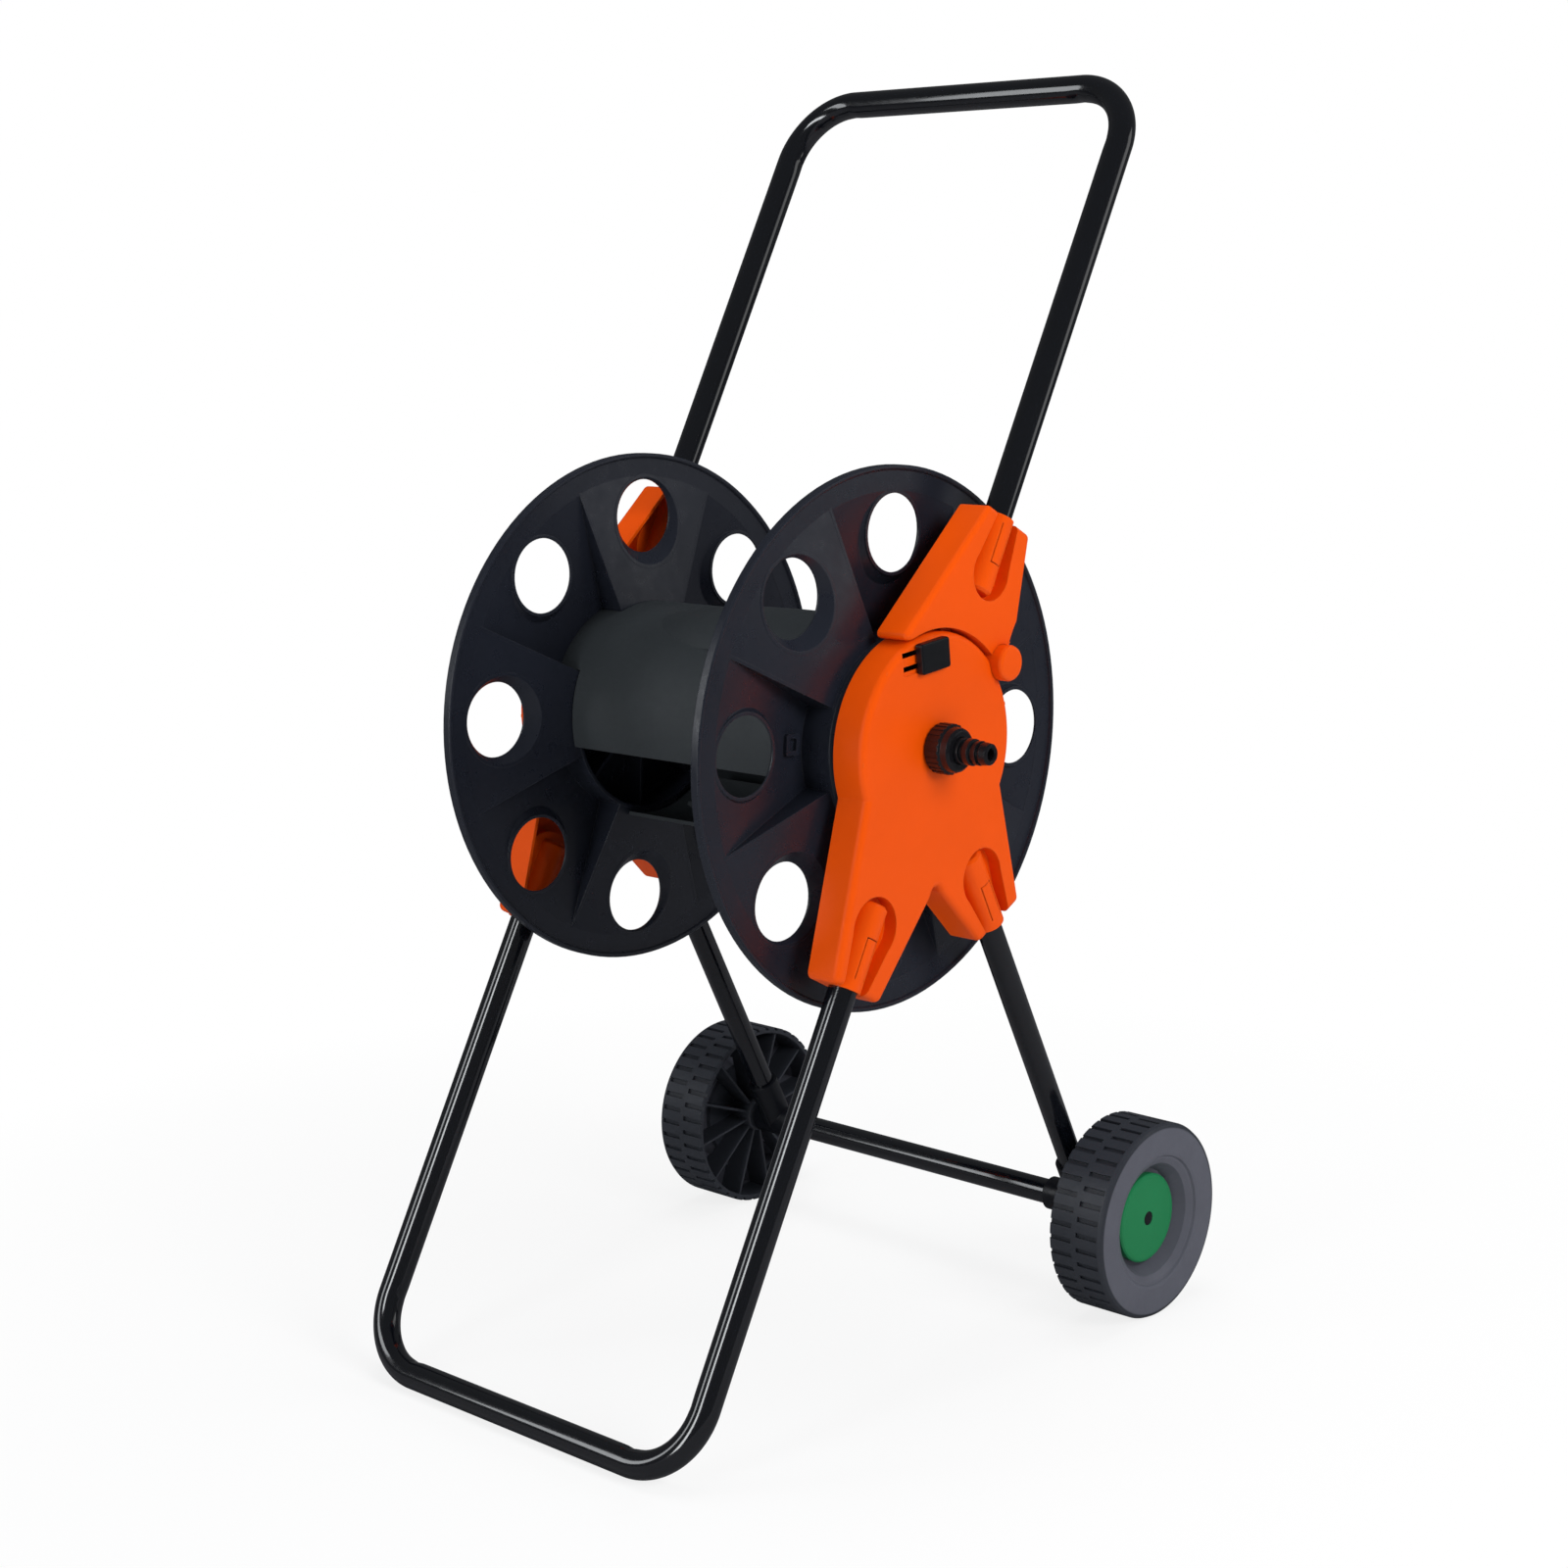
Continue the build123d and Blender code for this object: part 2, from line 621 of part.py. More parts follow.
with BuildPart() as upper_arm:
    add(arm_shell(0, FACE - BACK, EDGE_R - 1))
    add(arm_shell(WALL, FACE - BACK - WALL, 0), mode=Mode.SUBTRACT)
    with BuildPart(mode=Mode.PRIVATE) as walls:
        add(pocket(LEAN, LOOP_CROSS, 121, 164, 18.5, 11, POCKET_X - WALL, WALL))
        add(arm_shell(0.4, FACE - BACK - 0.4, EDGE_R - 1), mode=Mode.INTERSECT)
    add(walls.part)
    add(pocket(LEAN, LOOP_CROSS, 121, 166, 18.5, 11, POCKET_X), mode=Mode.SUBTRACT)
    add(sleeve(LEAN, LOOP_CROSS, LOOP_START - 3, 160, TUBE_R + RUNNING))
    add(rod(LEAN, LOOP_START - 3.3, 170, LOOP_CROSS, TUBE_R + RUNNING), mode=Mode.SUBTRACT)
    # knuckle of the hinge
    with BuildSketch(side_plane(BACK - 1)):
        with Locations(PIVOT):
            Circle(KNUCKLE_R + GAP)
    extrude(amount=KNUCKLE_X + 1 - BACK, mode=Mode.SUBTRACT)
    add(
        turned(
            [
                (KNUCKLE_X, 0),
                (KNUCKLE_X, KNUCKLE_R),
                (KNUCKLE_FACE - 2.5, KNUCKLE_R),
                (KNUCKLE_FACE - 0.8, KNUCKLE_R - 0.8),
                (KNUCKLE_FACE, KNUCKLE_R - 2.5),
                (KNUCKLE_FACE, 0),
            ],
            PIVOT,
        )
    )
    with BuildSketch(radial_plane(50, PIVOT)):
        with Locations(((KNUCKLE_X + FACE - 1) / 2, KNUCKLE_R + 1.5)):
            Rectangle(FACE - 1 - KNUCKLE_X, 5)
    hinge_axis = Axis((0, REEL_Y + PIVOT[0], REEL_Z + PIVOT[1]), (1, 0, 0))
    revolve(axis=hinge_axis, revolution_arc=93)
    pin_hole = collar(KNUCKLE_X - 1, KNUCKLE_FACE - 2.5, AXLE_ROD_R + RUNNING, 0, PIVOT)
    add(pin_hole, mode=Mode.SUBTRACT)
    # tongue that the latch bolt enters
    with BuildSketch(side_plane(141.5)):
        with BuildLine():
            Polyline(
                (TONGUE[0], 84),
                (TONGUE[0], TONGUE_FOOT + 2),
                (TONGUE[0] + 2, TONGUE_FOOT),
                (TONGUE[1], TONGUE_FOOT),
                (TONGUE[1], 49.0),
                (TONGUE[1] - 6.5, 49.0),
                (TONGUE[1] - 6.5, 57.6),
                (TONGUE[1], 57.6),
                (TONGUE[1], 84),
                close=True,
            )
        make_face()
    extrude(amount=6.5)
save_pair(upper_arm.part, "upper_arm")

# ---- latches ------------------------------------------------------------------------------
with BuildPart() as latch:
    with BuildSketch(side_plane(FACE + 0.3, LATCH_TILT, LATCH)):
        RectangleRounded(28, 20, 2)
    extrude(amount=5.2)
    fillet(latch.faces().sort_by(Axis.X)[-1].edges(), radius=1.2)
    with BuildSketch(side_plane(FACE - 6, LATCH_TILT, LATCH)):
        with Locations((-8, 4.5), (-8, -4.5)):
            Rectangle(8, 2.6)
    extrude(amount=6.4)
    with BuildSketch(side_plane(FACE - 7.5, LATCH_TILT, LATCH)):
        with Locations((-2, -1.5)):
            Rectangle(20, 15)
        with Locations((22, -9.5)):
            Rectangle(48, 5.5)
    extrude(amount=4.4)
    with BuildSketch(side_plane(141.5, LATCH_TILT, LATCH)):
        with Locations((43.0, -9.5)):
            Rectangle(6, 5.5)
    extrude(amount=FACE - 7.0 - 141.5)
save_pair(latch.part, "latch")

# ---- reel ---------------------------------------------------------------------------------
HALF = SHEET / 2
WALL_ANGLE = degrees(HALF / BAND_R)


def lift_at(radius):
    """How far a sector stands off the rim plane at a radius."""
    return LIFT * (BAND_R - radius) / (BAND_R - 68.0)


def sheet_profile(sign, outer=BAND_R + 1.0, inner=70.0):
    """Section of a lifted (1) or sunk (-1) sector."""
    far, near = FLANGE_X, FLANGE_X + sign * lift_at(inner)
    return [(far - HALF, outer), (far + HALF, outer), (near + HALF, inner), (near - HALF, inner)]


def room_profile(sign, grow):
    """The triangle between the rim plane and a sector, grown by half a sheet or more."""
    near = FLANGE_X + sign * (lift_at(70.0) + grow)
    return [
        (FLANGE_X - sign * grow, BAND_R + 3),
        (FLANGE_X + sign * grow, BAND_R + 3),
        (near, 70.0),
        (FLANGE_X - sign * grow, 70.0),
    ]


def flange_base():
    """Rim, eight sectors with funnelled holes, step walls between them, and the hub cup."""
    with BuildPart() as flange:
        add(
            turned(
                [
                    (FLANGE_X - HALF, BAND_R),
                    (FLANGE_X + HALF, BAND_R),
                    (FLANGE_X + HALF, FLANGE_R - 3.6),
                    (FLANGE_X + RIM_HALF - 0.8, FLANGE_R - 3),
                    (FLANGE_X + RIM_HALF, FLANGE_R - 2.2),
                    (FLANGE_X + RIM_HALF, FLANGE_R - 0.8),
                    (FLANGE_X + RIM_HALF - 0.8, FLANGE_R),
                    (FLANGE_X - RIM_HALF + 0.8, FLANGE_R),
                    (FLANGE_X - RIM_HALF, FLANGE_R - 0.8),
                    (FLANGE_X - RIM_HALF, FLANGE_R - 2.2),
                    (FLANGE_X - RIM_HALF + 0.8, FLANGE_R - 3),
                    (FLANGE_X - HALF, FLANGE_R - 3.6),
                ]
            )
        )
        for sign, middles in ((1, LIFTED), (-1, SUNK)):
            for middle in middles:
                add(sector(sheet_profile(sign), middle, SECTOR + 0.4))
                hole = point(middle, HOLE_CIRCLE_R)
                rise = LIFT + 4.0
                with BuildPart(mode=Mode.PRIVATE) as funnel:
                    add(
                        turned(
                            [
                                (FLANGE_X - sign * 2, 0),
                                (FLANGE_X - sign * 2, HOLE_R - 0.4 + SHEET),
                                (FLANGE_X, HOLE_R + SHEET),
                                (FLANGE_X + sign * rise, HOLE_R + SHEET + rise),
                                (FLANGE_X + sign * rise, 0),
                            ],
                            hole,
                        )
                    )
                    add(sector(room_profile(sign, HALF), middle, SECTOR), mode=Mode.INTERSECT)
                add(funnel.part)
                add(
                    turned(
                        [
                            (FLANGE_X - sign * 5, 0),
                            (FLANGE_X - sign * 5, HOLE_R),
                            (FLANGE_X, HOLE_R),
                            (FLANGE_X + sign * rise, HOLE_R + rise),
                            (FLANGE_X + sign * rise, 0),
                        ],
                        hole,
                    ),
                    mode=Mode.SUBTRACT,
                )
        for k in range(8):
            boundary = PHASE + SECTOR / 2 + SECTOR * k
            reach = lift_at(70.0) + HALF
            with BuildSketch(radial_plane(boundary)):
                with BuildLine():
                    Polyline(
                        (FLANGE_X - HALF, BAND_R + 2),
                        (FLANGE_X + HALF, BAND_R + 2),
                        (FLANGE_X + reach, 70.0),
                        (FLANGE_X - reach, 70.0),
                        close=True,
                    )
                make_face()
            extrude(amount=HALF, both=True)
        add(
            turned(
                [
                    (FLANGE_X - lift_at(70) - HALF, BOSS_R - 2.5),
                    (FLANGE_X - lift_at(70) - HALF, BOSS_R),
                    (BOSS_X - 2.0, BOSS_R),
                    (BOSS_X, BOSS_R - 2.0),
                    (BOSS_X, 0),
                    (BOSS_X - 2.5, 0),
                    (BOSS_X - 2.5, BOSS_R - 4.0),
                    (BOSS_X - 4.0, BOSS_R - 2.5),
                ]
            )
        )
        add(collar(FLANGE_X, BOSS_X - 1, JOURNAL_R, 0))
        with BuildSketch(side_plane(BOSS_X - 20)):
            with PolarLocations((CORE_R + BOSS_R) / 2, 8, start_angle=PHASE):
                Rectangle(BOSS_R - CORE_R - 1.5, 2.2)
        extrude(amount=18)
    return flange.part


base = flange_base()
with BuildPart() as flange_right:
    add(base)
    add(collar(BOSS_X - 1, JOURNAL_X, JOURNAL_R, 0))
    add(collar(FLANGE_X - 5, JOURNAL_X + 1, JOURNAL_BORE_R, 0), mode=Mode.SUBTRACT)
    # clip for the hose's tie, beside the hub cup
    clip_x = FLANGE_X - lift_at(86.0)
    with BuildSketch(side_plane(clip_x - 1, SUNK[2], point(SUNK[2] - 2, 86))):
        RectangleRounded(12, 14, 2)
    extrude(amount=6)
    with BuildSketch(side_plane(clip_x + 2, SUNK[2], point(SUNK[2] - 2, 86))):
        RectangleRounded(6.5, 8, 1.5)
    extrude(amount=5, mode=Mode.SUBTRACT)
save(flange_right.part, "flange_right")

SHAFT_END = 178.0
with BuildPart() as flange_left:
    add(base)
    add(
        turned(
            [
                (BOSS_X - 1, 0),
                (BOSS_X - 1, JOURNAL_R),
                (JOURNAL_X, JOURNAL_R),
                (JOURNAL_X, CRANK_SHAFT_R),
                (SHAFT_END, CRANK_SHAFT_R),
                (SHAFT_END, 0),
            ]
        )
    )
    with BuildSketch(side_plane(162)):
        with Locations((0, 10)):
            Rectangle(30, 7)
    extrude(amount=20, mode=Mode.SUBTRACT)
    add(collar(SHAFT_END - 22, SHAFT_END + 1, 2.5, 0), mode=Mode.SUBTRACT)
save(mirrored(flange_left.part), "flange_left")

# drum: two half shells with tabs that follow the flanges, open on two sides
GAP_ANGLE = 58.0
SHELL_ARC = 180.0 - GAP_ANGLE
SHELL_MIDDLE = 131.0
INNER_R = DRUM_R - DRUM_WALL
SUNK_END = FLANGE_X - lift_at(70.0) - HALF - 0.3
LIFTED_END = FLANGE_X + lift_at(DRUM_R) - HALF - 0.3
TAB_ARC = SECTOR - 2.8
LIP = SHELL_MIDDLE + SHELL_ARC / 2

with BuildPart() as drum_shell:
    with BuildSketch(side_plane(-LIFTED_END)) as section:
        with BuildLine():
            start = SHELL_MIDDLE - SHELL_ARC / 2
            CenterArc((0, 0), DRUM_R, start, SHELL_ARC)
            Line(point(LIP, DRUM_R), point(LIP, INNER_R))
            CenterArc((0, 0), INNER_R, start, SHELL_ARC)
            Line(point(start, INNER_R), point(start, DRUM_R))
        make_face()
        with BuildLine():
            Polyline(
                point(LIP, DRUM_R),
                point(LIP, 52.0, 4),
                point(LIP, 52.0, 4 - DRUM_WALL),
                point(LIP, INNER_R, -DRUM_WALL),
                point(LIP, DRUM_R, -DRUM_WALL),
                close=True,
            )
        make_face()
    extrude(amount=2 * LIFTED_END)
    # the ramp that lifts the hose onto its first turn
    hump = point(110, 48)
    with BuildSketch(radial_plane(110 - 50, hump)):
        with BuildLine():
            Spline((-74, 25), (-40, 32.5), (5, 37.5), (SUNK_END, 38.5))
            Polyline((SUNK_END, 38.5), (SUNK_END, 22), (-74, 22), (-74, 25))
        make_face()
    revolve(axis=Axis((0, REEL_Y + hump[0], REEL_Z + hump[1]), (1, 0, 0)), revolution_arc=100)
    # the ends stop short of the sunk sectors and of the step walls
    for middle in SUNK:
        for side in (-1, 1):
            ends = (side * SUNK_END, side * (LIFTED_END + 1))
            profile = [(ends[0], 40), (ends[1], 40), (ends[1], 95), (ends[0], 95)]
            add(sector(profile, middle, 90.0 - TAB_ARC), mode=Mode.SUBTRACT)
save(drum_shell.part, "drum_shell_upper")

with BuildPart() as drum_lower:
    add(drum_shell.part.rotate(REEL_AXIS, 180))
    with BuildPart(mode=Mode.PRIVATE) as ramp_side:
        add(collar(-LIFTED_END - 1, LIFTED_END + 1, 100, DRUM_R))
    add(ramp_side.part, mode=Mode.SUBTRACT)
save(drum_lower.part, "drum_shell_lower")

# core tube that ties the flanges together, with a window for the hose elbow
ELBOW_X = 84.0
ELBOW_ANGLE = 221.0
ELBOW_R = 10.0
with BuildPart() as core_tube:
    add(collar(-BOSS_X + 3, BOSS_X - 3, CORE_R, JOURNAL_R + 0.1))
    for angle in (LIP + 150, LIP - 30):
        with BuildSketch(side_plane(-SUNK_END + 2)):
            with Locations(point(angle, 48.5)):
                Rectangle(47.0, 2.4, rotation=angle)
        extrude(amount=2 * SUNK_END - 4)
    with BuildSketch(radial_plane(ELBOW_ANGLE)):
        with Locations((ELBOW_X, 24)):
            Rectangle(34, 20)
    extrude(amount=17, both=True, mode=Mode.SUBTRACT)
save(core_tube.part, "core_tube")

# ---- water way ----------------------------------------------------------------------------
SPIGOT_R = 8.0
SPIGOT_BORE = 5.0
SPIGOT_END = 104.0
NECK_R = 11.0
ELBOW_SLEEVE_R = JOURNAL_BORE_R - RUNNING
seal_at = (112.0, 120.0)
spigot_profile = [(SPIGOT_END, SPIGOT_BORE), (SPIGOT_END, SPIGOT_R)]
for x in seal_at:
    spigot_profile += [(x, SPIGOT_R), (x, SPIGOT_R - 2), (x + 2.6, SPIGOT_R - 2), (x + 2.6, SPIGOT_R)]
spigot_profile += [
    (151.0, SPIGOT_R),
    (151.0, 20.0),
    (FACE - WALL, 20.0),
    (FACE - WALL, NECK_R),
    (173.0, NECK_R),
    (173.0, SPIGOT_BORE),
]
save(turned(spigot_profile), "inlet_spigot")

with BuildPart() as spigot_seals:
    for x in seal_at:
        add(collar(x + 0.1, x + 2.5, SPIGOT_R + 0.02, SPIGOT_R - 2))
save(spigot_seals.part, "spigot_seals")

with BuildPart() as inlet_nut:
    add(
        turned(
            [
                (FACE + 0.2, NECK_R + RUNNING),
                (FACE + 0.2, 15.2),
                (FACE + 1.0, 16.0),
                (FACE + 11.5, 16.0),
                (FACE + 12.5, 14.8),
                (FACE + 13.0, 14.8),
                (FACE + 17.0, 14.2),
                (FACE + 18.5, 12.5),
                (FACE + 18.5, 9.0),
                (FACE + 15.2, 9.0),
                (FACE + 15.2, NECK_R + RUNNING),
            ]
        )
    )
    with BuildSketch(side_plane(FACE + 1.4)):
        with PolarLocations(15.9, 24):
            Rectangle(1.4, 1.9)
    extrude(amount=9.8)
save(inlet_nut.part, "inlet_nut")

with BuildPart() as inlet_washer:
    add(collar(173.0, 173.6, NECK_R - 0.5, SPIGOT_BORE + 1))
save(inlet_washer.part, "inlet_washer")

save(
    turned(
        [
            (173.6, 3.6),
            (173.6, NECK_R - 0.5),
            (175.2, NECK_R - 0.5),
            (175.2, 8.6),
            (181.0, 8.6),
            (181.6, 8.0),
            (181.6, 6.6),
            (184.6, 6.6),
            (184.6, 8.2),
            (185.2, 8.8),
            (189.0, 8.8),
            (190.0, 8.0),
            (190.0, 7.0),
            (192.4, 7.0),
            (192.4, 8.0),
            (195.0, 8.0),
            (195.0, 6.4),
            (197.4, 6.4),
            (197.4, 7.6),
            (202.0, 7.0),
            (203.0, 6.0),
            (203.0, 4.4),
            (202.0, 3.6),
        ]
    ),
    "hose_nipple",
)

# elbow that turns with the reel and carries the hose's inner end
with BuildPart() as outlet_elbow:
    add(
        turned(
            [
                (ELBOW_X - 12, 0),
                (ELBOW_X - 12, 11.0),
                (ELBOW_X - 11, 12.0),
                (FLANGE_X - 6, 12.0),
                (FLANGE_X - 6, 17.0),
                (FLANGE_X - 4, 17.0),
                (FLANGE_X - 4, ELBOW_SLEEVE_R),
                (JOURNAL_X, ELBOW_SLEEVE_R),
                (JOURNAL_X, 0),
            ]
        )
    )
    arm_plane = Plane(
        origin=(ELBOW_X, REEL_Y, REEL_Z), x_dir=(1, 0, 0), z_dir=(0, *point(ELBOW_ANGLE, 1))
    )
    with BuildSketch(arm_plane):
        Circle(ELBOW_R)
    extrude(amount=34)
    for rise, radius in ((34, 12.0), (38, 8.4), (42, 9.4), (46, 8.4), (50, 9.4)):
        with BuildSketch(arm_plane.offset(rise)):
            Circle(radius)
        extrude(amount=4)
    add(collar(SPIGOT_END - 1, JOURNAL_X + 1, SPIGOT_R + RUNNING, 0), mode=Mode.SUBTRACT)
    add(collar(ELBOW_X, SPIGOT_END, SPIGOT_BORE + 1, 0), mode=Mode.SUBTRACT)
    with BuildSketch(arm_plane):
        Circle(5.6)
    extrude(amount=70, mode=Mode.SUBTRACT)
save(outlet_elbow.part, "outlet_elbow")

# ---- crank --------------------------------------------------------------------------------
CRANK_IN, CRANK_OUT = 171.0, 179.0
GRIP_END = 212.5
with BuildPart() as crank_arm:
    with BuildSketch(side_plane(CRANK_IN)):
        Circle(17)
        with Locations((CRANK_R, 0)):
            Circle(11.5)
        with BuildLine():
            Polyline((0, 17), (CRANK_R, 11.5), (CRANK_R, -11.5), (0, -17), close=True)
        make_face()
    extrude(amount=CRANK_OUT - CRANK_IN)
    fillet(crank_arm.faces().sort_by(Axis.X)[-1].edges(), radius=2.0)
    with BuildSketch(side_plane(CRANK_OUT - 3)):
        with Locations((50, 0)):
            SlotCenterToCenter(40, 12)
    extrude(amount=5, mode=Mode.SUBTRACT)
    add(collar(FACE + 1.0, CRANK_IN, 17, 0))
    add(collar(CRANK_OUT - 1, CRANK_OUT + 3, 13, 0))
    with BuildPart(mode=Mode.PRIVATE) as socket:
        add(collar(FACE, SHAFT_END + 0.2, CRANK_SHAFT_R + RUNNING, 0))
        with BuildSketch(side_plane(162.2)):
            with Locations((0, 10 + RUNNING)):
                Rectangle(30, 7)
        extrude(amount=20, mode=Mode.SUBTRACT)
    add(socket.part, mode=Mode.SUBTRACT)
    add(collar(SHAFT_END - 1, 185, 3.1, 0), mode=Mode.SUBTRACT)
    add(collar(CRANK_OUT - 5.0, CRANK_OUT + 1, 5.0, 0, (CRANK_R, 0)), mode=Mode.SUBTRACT)
save(mirrored(crank_arm.part), "crank_arm")

with BuildPart() as crank_pin:
    add(
        turned(
            [
                (CRANK_OUT - 5.0, 0),
                (CRANK_OUT - 5.0, 5.0),
                (GRIP_END - 3.4, 5.0),
                (GRIP_END - 3.4, 8.0),
                (GRIP_END - 2.0, 8.0),
                (GRIP_END - 0.8, 6.0),
                (GRIP_END - 0.8, 0),
            ],
            (CRANK_R, 0),
        )
    )
save(mirrored(crank_pin.part), "crank_pin")

with BuildPart() as crank_grip:
    add(
        turned(
            [
                (CRANK_OUT + GAP, 5.0 + RUNNING),
                (CRANK_OUT + GAP, 10.0),
                (CRANK_OUT + 1.5, 11.5),
                (CRANK_OUT + 8.0, 12.0),
                (CRANK_OUT + 18.0, 13.0),
                (GRIP_END - 4.0, 12.0),
                (GRIP_END - 1.0, 10.5),
                (GRIP_END, 9.5),
                (GRIP_END, 8.4),
                (GRIP_END - 3.8, 8.4),
                (GRIP_END - 3.8, 5.0 + RUNNING),
            ],
            (CRANK_R, 0),
        )
    )
save(mirrored(crank_grip.part), "crank_grip")

save(
    mirrored(
        turned(
            [
                (SHAFT_END - 14, 0),
                (SHAFT_END - 14, 2.5),
                (CRANK_OUT + 3.0, 2.5),
                (CRANK_OUT + 3.0, 6.5),
                (CRANK_OUT + 4.5, 6.5),
                (CRANK_OUT + 6.0, 4.5),
                (CRANK_OUT + 6.0, 0),
            ]
        )
    ),
    "crank_screw",
)

# screws through the hub cups into the drum's lips, four on each flange
with BuildPart() as hub_screws:
    for side in (-1, 1):
        for k in range(4):
            centre = point(PHASE + SECTOR / 2 + 90 * k, 48)
            start, end = (BOSS_X, BOSS_X + 1.8) if side > 0 else (-BOSS_X - 1.8, -BOSS_X)
            add(collar(start, end, 4.0, 0, centre))
save(hub_screws.part, "hub_screws")
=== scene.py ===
import json
import math

import bmesh
import bpy
from mathutils import Matrix, Vector


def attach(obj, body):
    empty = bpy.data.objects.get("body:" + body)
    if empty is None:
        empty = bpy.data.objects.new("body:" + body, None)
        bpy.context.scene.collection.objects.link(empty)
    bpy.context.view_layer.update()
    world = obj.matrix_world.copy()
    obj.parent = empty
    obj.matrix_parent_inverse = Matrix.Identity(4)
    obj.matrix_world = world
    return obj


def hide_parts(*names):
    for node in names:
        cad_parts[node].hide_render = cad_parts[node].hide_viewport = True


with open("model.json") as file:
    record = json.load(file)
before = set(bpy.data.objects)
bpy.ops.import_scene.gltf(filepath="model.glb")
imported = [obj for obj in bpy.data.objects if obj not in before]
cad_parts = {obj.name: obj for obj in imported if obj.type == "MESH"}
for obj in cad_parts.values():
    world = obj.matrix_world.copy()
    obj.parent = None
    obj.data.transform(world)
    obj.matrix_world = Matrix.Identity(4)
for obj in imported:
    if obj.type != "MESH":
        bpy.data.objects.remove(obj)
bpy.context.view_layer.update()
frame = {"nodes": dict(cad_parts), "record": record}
nodes = frame["nodes"]


# where things are, in metres
MILLIMETRE = 0.001
REEL_Z = 0.4305  # height of the reel axis
AXLE = (0.177, 0.070)  # wheel axle, Y and Z
LEAN = math.radians(60.2)  # angle of handle and foot loop above the horizontal


# ---- materials ----------------------------------------------------------------------------
EDGE_SAMPLES = 6
SHARP = math.radians(28)  # faces that meet at more than this keep a hard edge
TREAD_R = 0.0672  # the tread starts past this radius
WEB_X = 0.193  # the wheel's web: what is nearer the middle is its inside


